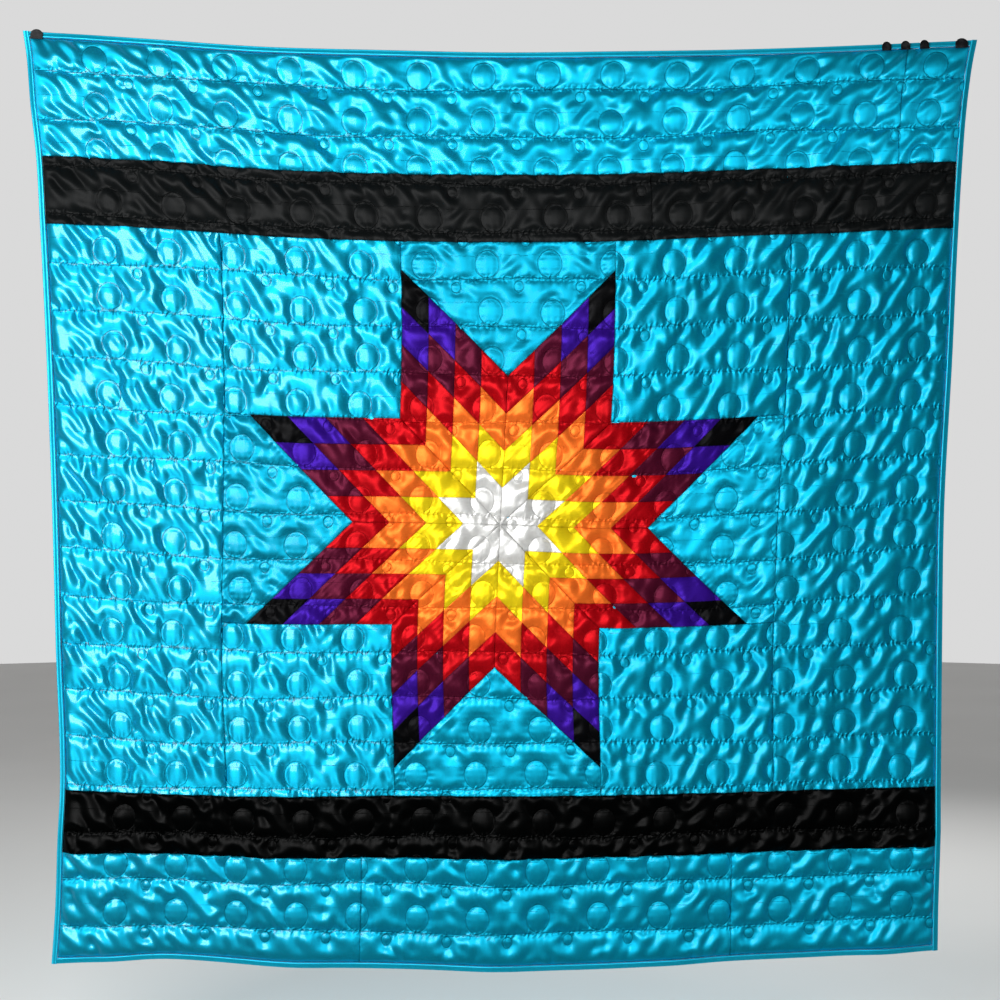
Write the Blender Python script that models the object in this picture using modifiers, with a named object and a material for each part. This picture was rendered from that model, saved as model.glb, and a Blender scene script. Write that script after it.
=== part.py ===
"""Star quilt blanket hanging by clips at its two top corners.

Each panel that a maker cuts and joins is one solid of padded cloth: the eight points of
the star, the squares and triangles between them, the side strips, the bands, the borders
and the binding. The panels are laid out flat first, in metres across and down from the
top left corner. The quilting raises them there, and the hanging shape then places them:
X runs along the top edge, Z is up, and the front faces -Y. The origin is the middle of
the top edge.
"""

import math

import bmesh
import bpy
import numpy as np
from mathutils import Matrix, Vector
from mathutils.geometry import delaunay_2d_cdt

# Flat size of the cloth and of its panels, across and down from the top left corner.
QUILT_WIDTH = 2.180
QUILT_LENGTH = 2.240
BINDING_WIDTH = 0.014
SIDE_SEAMS = (0.417, 1.768)
UPPER_BAND = (0.299, 0.461)
LOWER_BAND = (1.825, 1.974)
TOP_BORDER_JOIN = 2.022
UPPER_BAND_JOIN = 1.433
BOTTOM_BORDER_JOINS = (0.757, 1.667)

# The star: eight rhombic points, each pieced from rows of four diamonds.
STRIP_WIDTH = 0.0635
DIAMONDS_PER_SIDE = 4
STAR_POINTS = 8
STAR_CENTRE = (1.090, 1.143)
POINT_SIDE = DIAMONDS_PER_SIDE * STRIP_WIDTH / math.sin(math.pi / 4)
POINT_REACH = 2.0 * POINT_SIDE * math.cos(math.pi / 8)
SQUARE_CORNER = POINT_SIDE * math.cos(math.pi / 4)

# Quilting: stitched rows with a big circle standing on the line and a small one below it.
ROWS = 19
FIRST_ROW = 0.094
ROW_PITCH = 0.1143
COLUMNS = 14
FIRST_COLUMN = 0.154
COLUMN_PITCH = 0.1487
ROW_WANDER = 0.010
LINE_WAVE = 0.003
BIG_CIRCLE_RADII = (0.0285, 0.033)
SMALL_CIRCLE_RADII = (0.0115, 0.013)
BIG_CIRCLE_RISE = 0.035
SMALL_CIRCLE_DROP = 0.019
RING_POINTS = 8
LINE_STITCHES = (0.25, 0.5, 0.75)
PUFF_TOPS = (
    # share of the column pitch, below the row's line
    (0.50, 0.070),
    (0.27, 0.052),
    (0.73, 0.052),
)

# Half thickness of the cloth on its front and back, at a stitch and in a full puff.
FRONT_AT_STITCH = 0.0012
FRONT_IN_PUFF = 0.0066
BACK_AT_STITCH = 0.0012
BACK_IN_PUFF = 0.0030
PUFF_REACH = 0.026
SEAM_SHARE = 0.75
BINDING_EDGE = 0.0024
BINDING_CROWN = 0.0044

# How finely the cloth is divided.
SEAM_STEP = 0.076
SEAM_MARGIN = 0.0065
HALF_GAP = 0.0002

# Heights at which five level lines of the cloth hang, a row for each share of its width.
LINE_SHARES = (0.0, 0.206, 0.510, 0.8145, 1.0)
HANGING_LINES = (
    # across, top edge, upper band, star centre, lower band, bottom edge
    (0.000, 0.056, -0.407, -1.089, -1.764, -2.183),
    (0.125, 0.036, -0.421, -1.106, -1.774, -2.170),
    (0.250, 0.015, -0.441, -1.120, -1.780, -2.186),
    (0.375, 0.006, -0.452, -1.123, -1.777, -2.192),
    (0.500, 0.000, -0.454, -1.128, -1.779, -2.197),
    (0.625, 0.003, -0.452, -1.137, -1.776, -2.193),
    (0.750, 0.008, -0.440, -1.128, -1.770, -2.176),
    (0.875, 0.019, -0.430, -1.108, -1.762, -2.164),
    (1.000, 0.034, -0.417, -1.087, -1.756, -2.150),
)

# Where the side edges hang, and how far the middle of the cloth is drawn to the right.
HANGING_SIDES = (
    # down, left edge, right edge, middle
    (0.000, -1.145, 1.145, 0.000),
    (0.030, -1.135, 1.132, 0.002),
    (0.080, -1.126, 1.118, 0.007),
    (0.130, -1.114, 1.110, 0.014),
    (0.206, -1.104, 1.100, 0.022),
    (0.350, -1.088, 1.085, 0.020),
    (0.510, -1.075, 1.066, 0.005),
    (0.660, -1.066, 1.061, -0.010),
    (0.815, -1.056, 1.058, -0.007),
    (0.880, -1.062, 1.056, -0.005),
    (0.940, -1.067, 1.052, -0.002),
    (1.000, -1.076, 1.050, 0.000),
)

# Folds that stand out from the cloth, as soft ridges between two flat points.
FOLDS = (
    # from across, from down, to across, to down, half width, height
    (0.060, 0.060, 0.620, 0.270, 0.040, 0.012),
    (0.090, 0.040, 0.860, 0.190, 0.035, 0.009),
    (0.050, 0.100, 0.430, 0.440, 0.045, 0.012),
    (0.050, 0.170, 0.260, 0.640, 0.045, 0.009),
    (2.120, 0.060, 1.560, 0.260, 0.040, 0.012),
    (2.090, 0.040, 1.320, 0.190, 0.035, 0.009),
    (2.130, 0.110, 1.740, 0.450, 0.045, 0.011),
    (2.130, 0.190, 1.930, 0.690, 0.045, 0.008),
    (0.130, 0.620, 0.310, 0.980, 0.040, 0.007),
    (0.080, 0.960, 0.300, 1.330, 0.045, 0.008),
    (0.140, 1.380, 0.330, 1.720, 0.045, 0.006),
    (2.040, 0.760, 1.830, 1.120, 0.045, 0.007),
    (2.080, 1.200, 1.860, 1.600, 0.050, 0.006),
    (1.560, 0.520, 1.380, 0.860, 0.045, 0.005),
    (0.640, 0.540, 0.820, 0.840, 0.045, 0.005),
    (0.080, 1.940, 0.160, 2.236, 0.070, 0.016),
    (0.560, 1.980, 0.600, 2.236, 0.090, 0.012),
    (1.100, 1.960, 1.090, 2.236, 0.110, 0.016),
    (1.560, 1.990, 1.540, 2.236, 0.090, 0.011),
    (2.100, 1.940, 2.050, 2.236, 0.070, 0.014),
)
BILLOW = 0.018

# How far from a clip the cloth is held flat, and its puffs pressed thin.
HELD_FLAT = 0.090
PRESSED_THIN = 0.035

# Clips over the top edge: two that hold the corners and three small ones.
CORNER_CLIP_SIZE = (0.030, 0.023)
SMALL_CLIP_SIZE = (0.022, 0.021)
CORNER_CLIPS = (("corner_clip_left", 0.0335), ("corner_clip_right", 2.1425))
SMALL_CLIPS = (("small_clip_1", 1.970), ("small_clip_2", 2.0133), ("small_clip_3", 2.0567))
CLIP_RISE = 0.0045
CLIP_SLOT = 0.0102
CLIP_WALL = 0.0030
CLIP_HEADROOM = 0.0005
CLIP_SHOULDER_SHARE = 0.45
CLIP_BEVEL = 0.0010

# Colour, roughness and metallic value of each material.
FINISHES = {
    "turquoise_satin": ((0.000, 0.520, 0.760), 0.32, 0.10),
    "black_satin": ((0.012, 0.012, 0.013), 0.38, 0.10),
    "star_satin": ((0.620, 0.050, 0.010), 0.32, 0.10),
    "clip_steel": ((0.010, 0.010, 0.011), 0.40, 0.60),
}


def clear_scene():
    """Start from an empty scene."""
    for item in list(bpy.data.objects):
        bpy.data.objects.remove(item, do_unlink=True)


def new_collection(name):
    """A collection linked to the scene."""
    collection = bpy.data.collections.new(name)
    bpy.context.scene.collection.children.link(collection)
    return collection


def finish(name):
    """The material of that name, made when it is first asked for."""
    if name in bpy.data.materials:
        return bpy.data.materials[name]
    colour, roughness, metallic = FINISHES[name]
    material = bpy.data.materials.new(name)
    material.use_nodes = True
    shader = material.node_tree.nodes["Principled BSDF"]
    shader.inputs["Base Color"].default_value = (*colour, 1.0)
    shader.inputs["Roughness"].default_value = roughness
    shader.inputs["Metallic"].default_value = metallic
    return material


def smooth_through(knots, values, where):
    """A smooth curve through values at uneven knots, read at each place in where.

    values has a row for each knot, and may have a column for each place.
    """
    knots = np.asarray(knots, float)
    values = np.asarray(values, float)
    if values.ndim == 1:
        values = np.repeat(values[:, None], len(where), axis=1)
    slopes = np.gradient(values, knots, axis=0)
    place = np.arange(len(where))
    first = np.clip(np.searchsorted(knots, where, side="right") - 1, 0, len(knots) - 2)
    span = knots[first + 1] - knots[first]
    share = (where - knots[first]) / span
    start = (1.0 + 2.0 * share) * (1.0 - share) ** 2
    end = share ** 2 * (3.0 - 2.0 * share)
    leave = share * (1.0 - share) ** 2 * span
    arrive = share ** 2 * (share - 1.0) * span
    return (start * values[first, place] + end * values[first + 1, place]
            + leave * slopes[first, place] + arrive * slopes[first + 1, place])


def held_by(clips, across, down, reach):
    """1 at the clips, falling to 0 past their reach."""
    free = np.ones(np.shape(across))
    for _, clip_across in clips:
        free = free * (1.0 - np.exp(-(across - clip_across) ** 2 / reach ** 2 - down ** 2 / reach ** 2))
    return 1.0 - free


def fold_height(across, down):
    """How far the folds and the slack of the cloth stand out from the hanging plane."""
    share = across / QUILT_WIDTH
    height = BILLOW * 4.0 * share * (1.0 - share) * (1.0 - 0.5 * down / QUILT_LENGTH)
    for from_across, from_down, to_across, to_down, half_width, rise in FOLDS:
        run = np.array((to_across - from_across, to_down - from_down))
        along = ((across - from_across) * run[0] + (down - from_down) * run[1]) / run.dot(run)
        along = np.clip(along, 0.0, 1.0)
        away = np.hypot(across - from_across - along * run[0], down - from_down - along * run[1])
        height = height + rise * np.exp(-(away / half_width) ** 2)
    return height * (1.0 - held_by(CORNER_CLIPS, across, down, HELD_FLAT))


def hang(across, down):
    """Where the middle of the cloth's thickness hangs, as rows of x, y and z."""
    lines = np.array(HANGING_LINES)
    sides = np.array(HANGING_SIDES)
    across = np.asarray(across, float)
    down = np.asarray(down, float)
    u = across / QUILT_WIDTH
    v = down / QUILT_LENGTH
    left = smooth_through(sides[:, 0], sides[:, 1], v)
    right = smooth_through(sides[:, 0], sides[:, 2], v)
    middle = smooth_through(sides[:, 0], sides[:, 3], v)
    x = left + u * (right - left) + middle * 4.0 * u * (1.0 - u)
    levels = [smooth_through(lines[:, 0], lines[:, 1 + i], u) for i in range(len(LINE_SHARES))]
    z = smooth_through(LINE_SHARES, levels, v)
    return np.stack((x, BILLOW - fold_height(across, down), z), axis=-1)


def outward(across, down):
    """The unit normal of the cloth's front at each place."""
    step = 0.004
    to_right = hang(across + step, down) - hang(across - step, down)
    to_hem = hang(across, down + step) - hang(across, down - step)
    normal = np.cross(to_hem, to_right)
    return normal / np.linalg.norm(normal, axis=-1, keepdims=True)


def row_line(row, across):
    """How far down a stitched row runs at each place across."""
    return FIRST_ROW + row * ROW_PITCH + LINE_WAVE * np.sin(9.0 * across + 1.7 * row)


def circle_across(row, column):
    """Where a big circle of a row stands."""
    return FIRST_COLUMN + column * COLUMN_PITCH + ROW_WANDER * math.sin(2.4 * row + 0.6)


def puff(across, down):
    """0 at a stitch, rising to 1 in the middle of a puff."""
    nearest = np.full(across.shape, PUFF_REACH)
    for row in range(ROWS):
        line = row_line(row, across)
        nearest = np.minimum(nearest, np.abs(down - line))
        shift = circle_across(row, 0)
        for offset, centre, radii in (
            (0.0, line - BIG_CIRCLE_RISE, BIG_CIRCLE_RADII),
            (0.5 * COLUMN_PITCH, line + SMALL_CIRCLE_DROP, SMALL_CIRCLE_RADII),
        ):
            beside = across - shift - offset
            beside = beside - COLUMN_PITCH * np.round(beside / COLUMN_PITCH)
            ring = np.hypot(beside / radii[0], (down - centre) / radii[1])
            nearest = np.minimum(nearest, np.abs(ring - 1.0) * radii[0])
    return np.sin(0.5 * math.pi * nearest / PUFF_REACH)


def panel_thickness(across, down, at_seam):
    """Front and back half thickness of a quilted panel."""
    share = puff(across, down) * np.where(at_seam, SEAM_SHARE, 1.0)
    share = share * (1.0 - held_by(CORNER_CLIPS + SMALL_CLIPS, across, down, PRESSED_THIN))
    front = FRONT_AT_STITCH + (FRONT_IN_PUFF - FRONT_AT_STITCH) * share
    back = BACK_AT_STITCH + (BACK_IN_PUFF - BACK_AT_STITCH) * share
    return front, back


def binding_thickness(across, down, at_seam):
    """Front and back half thickness of the rolled binding."""
    half = np.where(at_seam, BINDING_EDGE, BINDING_CROWN)
    return half, half


def quilting_points():
    """Flat points that carry the quilting on the front, and fewer of them for the back."""
    front = []
    back = []
    for row in range(-1, ROWS + 1):
        for column in range(-1, COLUMNS + 1):
            across = circle_across(row, column)
            line = float(row_line(row, across))
            small = across + 0.5 * COLUMN_PITCH
            big_down = line - BIG_CIRCLE_RISE
            small_down = line + SMALL_CIRCLE_DROP
            front.append((across, big_down))
            for step in range(RING_POINTS):
                turn = 2.0 * math.pi * step / RING_POINTS
                front.append((across + BIG_CIRCLE_RADII[0] * math.sin(turn),
                              big_down + BIG_CIRCLE_RADII[1] * math.cos(turn)))
            front.append((small, small_down))
            front.append((small - SMALL_CIRCLE_RADII[0], small_down))
            front.append((small + SMALL_CIRCLE_RADII[0], small_down))
            front.append((small, small_down + SMALL_CIRCLE_RADII[1]))
            for share in LINE_STITCHES:
                place = across + share * COLUMN_PITCH
                front.append((place, float(row_line(row, place))))
            for share, drop in PUFF_TOPS:
                front.append((across + share * COLUMN_PITCH, line + drop))
            back.append((across, line))
            back.append((small, line + 0.5 * ROW_PITCH))
    return np.array(front), np.array(back)


def rectangle(left, top, right, bottom):
    """Corners of an upright panel, in order around it."""
    return [(left, top), (right, top), (right, bottom), (left, bottom)]


def star_place(reach, turn):
    """The flat point at that distance and angle from the star's centre."""
    return (STAR_CENTRE[0] + reach * math.cos(turn), STAR_CENTRE[1] + reach * math.sin(turn))


def star_panels():
    """Outlines of the star's eight points, as rhombi around its centre."""
    outlines = {}
    half = math.pi / STAR_POINTS
    for index in range(STAR_POINTS):
        turn = half * (2 * index + 1)
        outlines[f"star_point_{index + 1}"] = [
            STAR_CENTRE,
            star_place(POINT_SIDE, turn - half),
            star_place(POINT_REACH, turn),
            star_place(POINT_SIDE, turn + half),
        ]
    return outlines


def background_panels():
    """Outlines of the squares and triangles that fill the star out to a square block."""
    centre_across, centre_down = STAR_CENTRE
    left, right = SIDE_SEAMS
    top, bottom = UPPER_BAND[1], LOWER_BAND[0]
    inner_left, inner_right = centre_across - SQUARE_CORNER, centre_across + SQUARE_CORNER
    inner_top, inner_bottom = centre_down - SQUARE_CORNER, centre_down + SQUARE_CORNER
    tip = POINT_REACH * math.cos(math.pi / STAR_POINTS)
    return {
        "square_top_left": rectangle(left, top, inner_left, inner_top),
        "square_top_right": rectangle(inner_right, top, right, inner_top),
        "square_bottom_left": rectangle(left, inner_bottom, inner_left, bottom),
        "square_bottom_right": rectangle(inner_right, inner_bottom, right, bottom),
        "triangle_top": [
            (inner_left, top), (inner_right, top), (inner_right, centre_down - tip),
            (centre_across, centre_down - POINT_SIDE), (inner_left, centre_down - tip),
        ],
        "triangle_bottom": [
            (inner_left, bottom), (inner_left, centre_down + tip),
            (centre_across, centre_down + POINT_SIDE), (inner_right, centre_down + tip),
            (inner_right, bottom),
        ],
        "triangle_left": [
            (left, inner_top), (centre_across - tip, inner_top),
            (centre_across - POINT_SIDE, centre_down), (centre_across - tip, inner_bottom),
            (left, inner_bottom),
        ],
        "triangle_right": [
            (right, inner_top), (right, inner_bottom), (centre_across + tip, inner_bottom),
            (centre_across + POINT_SIDE, centre_down), (centre_across + tip, inner_top),
        ],
    }


def strip_panels():
    """Outlines of the turquoise side strips and borders."""
    left, right = BINDING_WIDTH, QUILT_WIDTH - BINDING_WIDTH
    top, bottom = BINDING_WIDTH, QUILT_LENGTH - BINDING_WIDTH
    first_join, second_join = BOTTOM_BORDER_JOINS
    return {
        "side_strip_left": rectangle(left, UPPER_BAND[1], SIDE_SEAMS[0], LOWER_BAND[0]),
        "side_strip_right": rectangle(SIDE_SEAMS[1], UPPER_BAND[1], right, LOWER_BAND[0]),
        "top_border_long": rectangle(left, top, TOP_BORDER_JOIN, UPPER_BAND[0]),
        "top_border_short": rectangle(TOP_BORDER_JOIN, top, right, UPPER_BAND[0]),
        "bottom_border_left": rectangle(left, LOWER_BAND[1], first_join, bottom),
        "bottom_border_middle": rectangle(first_join, LOWER_BAND[1], second_join, bottom),
        "bottom_border_right": rectangle(second_join, LOWER_BAND[1], right, bottom),
    }


def band_panels():
    """Outlines of the black bands."""
    left, right = BINDING_WIDTH, QUILT_WIDTH - BINDING_WIDTH
    return {
        "upper_band_long": rectangle(left, UPPER_BAND[0], UPPER_BAND_JOIN, UPPER_BAND[1]),
        "upper_band_short": rectangle(UPPER_BAND_JOIN, UPPER_BAND[0], right, UPPER_BAND[1]),
        "lower_band": rectangle(left, LOWER_BAND[0], right, LOWER_BAND[1]),
    }


def binding_strips():
    """Outlines of the binding: the sides run full length and the ends fit between them."""
    left, right = BINDING_WIDTH, QUILT_WIDTH - BINDING_WIDTH
    top, bottom = BINDING_WIDTH, QUILT_LENGTH - BINDING_WIDTH
    return {
        "binding_left": rectangle(0.0, 0.0, left, QUILT_LENGTH),
        "binding_right": rectangle(right, 0.0, QUILT_WIDTH, QUILT_LENGTH),
        "binding_top": rectangle(left, 0.0, right, top),
        "binding_bottom": rectangle(left, bottom, right, QUILT_LENGTH),
    }


def divide_outline(corners, junctions):
    """The outline with a point at each junction on it, and even steps between them.

    Panels that share a seam get the same points along it.
    """
    points = []
    for start, end in zip(corners, corners[1:] + corners[:1]):
        start = np.array(start)
        run = np.array(end) - start
        length = np.hypot(*run)
        along = (junctions - start) @ run / length
        away = np.abs((junctions - start) @ np.array((-run[1], run[0]))) / length
        on_side = (away < 1e-6) & (along > 1e-6) & (along < length - 1e-6)
        stops = np.unique(np.round(np.concatenate(([0.0], along[on_side], [length])), 7))
        for near, far in zip(stops[:-1], stops[1:]):
            steps = max(1, math.ceil((far - near) / SEAM_STEP))
            for step in range(steps):
                points.append(start + run / length * (near + (far - near) * step / steps))
    return np.array(points)


def draw_in(points, distance):
    """The outline moved inwards, whichever way it runs."""
    to_next = np.roll(points, -1, axis=0) - points
    to_next = to_next / np.linalg.norm(to_next, axis=1, keepdims=True)
    area = np.sum(points[:, 0] * np.roll(points[:, 1], -1) - np.roll(points[:, 0], -1) * points[:, 1])
    inward = np.stack((-to_next[:, 1], to_next[:, 0]), axis=1) * np.sign(area)
    before = np.roll(inward, 1, axis=0)
    corner = 1.0 + np.sum(inward * before, axis=1, keepdims=True)
    return points + distance * (inward + before) / corner


def well_inside(points, outline, margin):
    """Those of the points that lie in the outline, no closer to it than the margin."""
    inside = np.zeros(len(points), bool)
    nearest = np.full(len(points), np.inf)
    for start, end in zip(outline, np.roll(outline, -1, axis=0)):
        run = end - start
        offset = points - start
        share = np.clip(offset @ run / run.dot(run), 0.0, 1.0)
        nearest = np.minimum(nearest, np.linalg.norm(offset - share[:, None] * run, axis=1))
        spans = (start[1] > points[:, 1]) != (end[1] > points[:, 1])
        if start[1] != end[1]:
            crossing = start[0] + (points[:, 1] - start[1]) * run[0] / run[1]
            inside ^= spans & (points[:, 0] < crossing)
    return points[inside & (nearest >= margin)]


def triangulate(outline, inner):
    """Flat points and triangles of a panel, with the outline's own points first."""
    flat = np.concatenate((outline, inner)) if len(inner) else outline
    rim = list(range(len(outline)))
    found, _, faces, origins, _, _ = delaunay_2d_cdt([Vector(p) for p in flat], [], [rim], 1, 1e-7)
    source = [group[0] for group in origins]
    if len(found) != len(flat):
        raise ValueError("a panel's points crossed or merged")
    triangles = [[source[corner] for corner in face] for face in faces]
    area = sum(cross_2d(flat[a], flat[b], flat[c]) for a, b, c in triangles)
    if area < 0.0:
        triangles = [face[::-1] for face in triangles]
    return flat, triangles


def cross_2d(a, b, c):
    """Twice the signed area of a flat triangle."""
    return (b[0] - a[0]) * (c[1] - a[1]) - (b[1] - a[1]) * (c[0] - a[0])


def add_object(name, mesh, material, collection):
    """A mesh object with its material in the collection."""
    mesh.materials.append(finish(material))
    item = bpy.data.objects.new(name, mesh)
    collection.objects.link(item)
    return item


def cloth_piece(name, corners, junctions, inner_points, thickness, material, collection):
    """One padded panel: its flat outline and inner points raised, hung and closed."""
    seam = divide_outline(corners, junctions)
    if cross_2d(seam[0], seam[1], seam.mean(axis=0)) < 0.0:
        seam = seam[::-1]
    outline = draw_in(seam, HALF_GAP)
    mesh = bmesh.new()
    rims = []
    for side, candidates in enumerate(inner_points):
        inner = well_inside(candidates, outline, SEAM_MARGIN)
        flat, triangles = triangulate(outline, inner)
        at_seam = np.arange(len(flat)) < len(seam)
        across, down = np.concatenate((seam, flat[len(seam):])).T
        rise = thickness(across, down, at_seam)[side]
        toward = 1.0 if side == 0 else -1.0
        places = hang(*flat.T) + toward * rise[:, None] * outward(*flat.T)
        verts = [mesh.verts.new(place) for place in places]
        rims.append(verts[:len(seam)])
        for a, b, c in triangles:
            corners_3d = (verts[a], verts[c], verts[b]) if side == 0 else (verts[a], verts[b], verts[c])
            mesh.faces.new(corners_3d)
    front, back = rims
    for index in range(len(seam)):
        after = (index + 1) % len(seam)
        mesh.faces.new((front[index], front[after], back[after], back[index]))
    bmesh.ops.triangulate(mesh, faces=mesh.faces)
    bmesh.ops.recalc_face_normals(mesh, faces=mesh.faces)
    data = bpy.data.meshes.new(name)
    mesh.to_mesh(data)
    mesh.free()
    return add_object(name, data, material, collection)


def binding_middle(corners, junctions):
    """Points along the middle of a binding strip."""
    (left, top), (right, bottom) = corners[0], corners[2]
    upright = bottom - top > right - left
    places = divide_outline(corners, junctions)
    if upright:
        stops = np.unique(np.round(places[:, 1], 6))[1:-1]
        return np.stack((np.full(len(stops), 0.5 * (left + right)), stops), axis=1)
    stops = np.unique(np.round(places[:, 0], 6))[1:-1]
    return np.stack((stops, np.full(len(stops), 0.5 * (top + bottom))), axis=1)


def quilt(collection):
    """All the cloth: star, background, strips, bands and binding."""
    turquoise = {**background_panels(), **strip_panels()}
    groups = (
        (star_panels(), "star_satin"),
        (turquoise, "turquoise_satin"),
        (band_panels(), "black_satin"),
    )
    bindings = binding_strips()
    outlines = [corners for panels, _ in groups for corners in panels.values()]
    outlines += list(bindings.values())
    junctions = np.unique(np.round([p for corners in outlines for p in corners], 7), axis=0)
    quilting = quilting_points()
    for panels, material in groups:
        for name, corners in panels.items():
            cloth_piece(name, corners, junctions, quilting, panel_thickness, material, collection)
    for name, corners in bindings.items():
        middle = binding_middle(corners, junctions)
        cloth_piece(name, corners, junctions, (middle, middle), binding_thickness,
                    "turquoise_satin", collection)


def clip_outline(width, height):
    """Front outline of a clip: straight sides under a domed top."""
    half = 0.5 * width
    base = CLIP_RISE - height
    shoulder = base + CLIP_SHOULDER_SHARE * height
    points = [(-half, base), (half, base)]
    arc_steps = 12
    for step in range(arc_steps + 1):
        turn = math.pi * step / arc_steps
        points.append((half * math.cos(turn), shoulder + (CLIP_RISE - shoulder) * math.sin(turn)))
    return points


def outline_mesh(name, points, depth):
    """A flat outline in X and Z, extruded to a depth along Y and made a mesh."""
    curve = bpy.data.curves.new(name, "CURVE")
    curve.dimensions = "2D"
    curve.fill_mode = "BOTH"
    curve.extrude = 0.5 * depth
    spline = curve.splines.new("POLY")
    spline.points.add(len(points) - 1)
    for point, (x, z) in zip(spline.points, points):
        point.co = (x, z, 0.0, 1.0)
    spline.use_cyclic_u = True
    item = bpy.data.objects.new(name, curve)
    bpy.context.scene.collection.objects.link(item)
    bpy.context.view_layer.update()
    data = bpy.data.meshes.new_from_object(item.evaluated_get(bpy.context.evaluated_depsgraph_get()))
    bpy.data.objects.remove(item, do_unlink=True)
    shape = bmesh.new()
    shape.from_mesh(data)
    bmesh.ops.remove_doubles(shape, verts=shape.verts, dist=1e-6)
    bmesh.ops.transform(shape, matrix=Matrix.Rotation(math.radians(90), 4, "X"), verts=shape.verts)
    shape.to_mesh(data)
    shape.free()
    data.name = name
    return data


def slot_cutter(name, collection):
    """The space that the cloth's edge takes in a clip, open below."""
    bpy.ops.mesh.primitive_cube_add(size=1.0)
    cutter = bpy.context.object
    cutter.name = name
    length = 0.060
    cutter.data.transform(Matrix.Diagonal((length, CLIP_SLOT, length, 1.0)))
    cutter.data.transform(Matrix.Translation((0.0, 0.0, CLIP_HEADROOM - 0.5 * length)))
    for owner in cutter.users_collection:
        owner.objects.unlink(cutter)
    collection.objects.link(cutter)
    cutter.hide_render = True
    cutter.display_type = "WIRE"
    return cutter


def clip_frame(across, upright_face):
    """Placement of a clip on the top edge, with its face square to the wall if asked."""
    here = hang(np.array([across]), np.array([0.0]))[0]
    ahead = hang(np.array([across + 0.01]), np.array([0.0]))[0]
    sideways = Vector(ahead - here)
    if upright_face:
        sideways.y = 0.0
    sideways.normalize()
    upwards = Vector((0.0, 0.0, 1.0))
    backwards = upwards.cross(sideways).normalized()
    upwards = sideways.cross(backwards)
    frame = Matrix((sideways, backwards, upwards)).transposed().to_4x4()
    frame.translation = Vector(here)
    return frame


def clip(name, across, size, upright_face, parts, cutters):
    """A spring clip over the cloth's top edge: two jaws and a domed bridge."""
    depth = CLIP_SLOT + 2.0 * CLIP_WALL
    data = outline_mesh(name, clip_outline(*size), depth)
    item = add_object(name, data, "clip_steel", parts)
    cutter = slot_cutter(f"{name}_slot", cutters)
    frame = clip_frame(across, upright_face)
    item.matrix_world = frame
    cutter.matrix_world = frame
    rounding = item.modifiers.new("rounded_edges", "BEVEL")
    rounding.width = CLIP_BEVEL
    rounding.segments = 2
    rounding.limit_method = "ANGLE"
    rounding.angle_limit = math.radians(50)
    cut = item.modifiers.new("slot", "BOOLEAN")
    cut.operation = "DIFFERENCE"
    cut.object = cutter


def main():
    clear_scene()
    parts = new_collection("star_quilt_blanket")
    cutters = new_collection("cutters")
    quilt(parts)
    for name, across in CORNER_CLIPS:
        clip(name, across, CORNER_CLIP_SIZE, True, parts, cutters)
    for name, across in SMALL_CLIPS:
        clip(name, across, SMALL_CLIP_SIZE, False, parts, cutters)


main()
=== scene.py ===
"""Looks of the star quilt blanket: quilted satin panels, rolled binding and black clips.

The top fabric is relaxed as a cloth that is a little too full for its padding, held down
at every stitch. Each panel of the frame is then replaced by a fine sheet that carries its
share of that relief on the shape in which the blanket hangs.
"""

import math

import bpy
import numpy as np
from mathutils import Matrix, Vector

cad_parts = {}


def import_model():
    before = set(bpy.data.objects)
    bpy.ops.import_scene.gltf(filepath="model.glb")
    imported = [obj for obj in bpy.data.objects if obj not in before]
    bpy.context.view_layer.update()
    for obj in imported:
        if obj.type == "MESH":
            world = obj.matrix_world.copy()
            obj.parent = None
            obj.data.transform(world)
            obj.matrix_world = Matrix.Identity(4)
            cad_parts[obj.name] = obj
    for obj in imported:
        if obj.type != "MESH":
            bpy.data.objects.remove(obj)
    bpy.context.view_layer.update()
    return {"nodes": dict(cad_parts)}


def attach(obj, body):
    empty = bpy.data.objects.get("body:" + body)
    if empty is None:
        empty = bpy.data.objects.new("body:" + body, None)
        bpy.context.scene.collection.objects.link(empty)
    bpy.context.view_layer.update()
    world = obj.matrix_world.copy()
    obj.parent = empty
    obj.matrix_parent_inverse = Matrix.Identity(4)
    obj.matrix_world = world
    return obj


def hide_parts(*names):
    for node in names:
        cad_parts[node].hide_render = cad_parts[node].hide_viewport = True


# Flat size of the cloth and of its panels, across and down from the top left corner.
QUILT_WIDTH = 2.180
QUILT_LENGTH = 2.240
BINDING_WIDTH = 0.014
SIDE_SEAMS = (0.417, 1.768)
UPPER_BAND = (0.299, 0.461)
LOWER_BAND = (1.825, 1.974)
TOP_BORDER_JOIN = 2.022
UPPER_BAND_JOIN = 1.433
BOTTOM_BORDER_JOINS = (0.757, 1.667)

# The star: eight rhombic points, each pieced from rows of four diamonds.
STRIP_WIDTH = 0.0635
DIAMONDS_PER_SIDE = 4
STAR_POINTS = 8
STAR_CENTRE = (1.090, 1.143)
POINT_SIDE = DIAMONDS_PER_SIDE * STRIP_WIDTH / math.sin(math.pi / 4)
POINT_REACH = 2.0 * POINT_SIDE * math.cos(math.pi / 8)
SQUARE_CORNER = POINT_SIDE * math.cos(math.pi / 4)

# Quilting: stitched rows with a big circle standing on the line and a small one below it.
ROWS = 19
FIRST_ROW = 0.094
ROW_PITCH = 0.1143
COLUMNS = 14
FIRST_COLUMN = 0.154
COLUMN_PITCH = 0.1487
ROW_WANDER = 0.010
LINE_WAVE = 0.003
BIG_CIRCLE_RADII = (0.0285, 0.033)
SMALL_CIRCLE_RADII = (0.0115, 0.013)
BIG_CIRCLE_RISE = 0.035
SMALL_CIRCLE_DROP = 0.019

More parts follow.
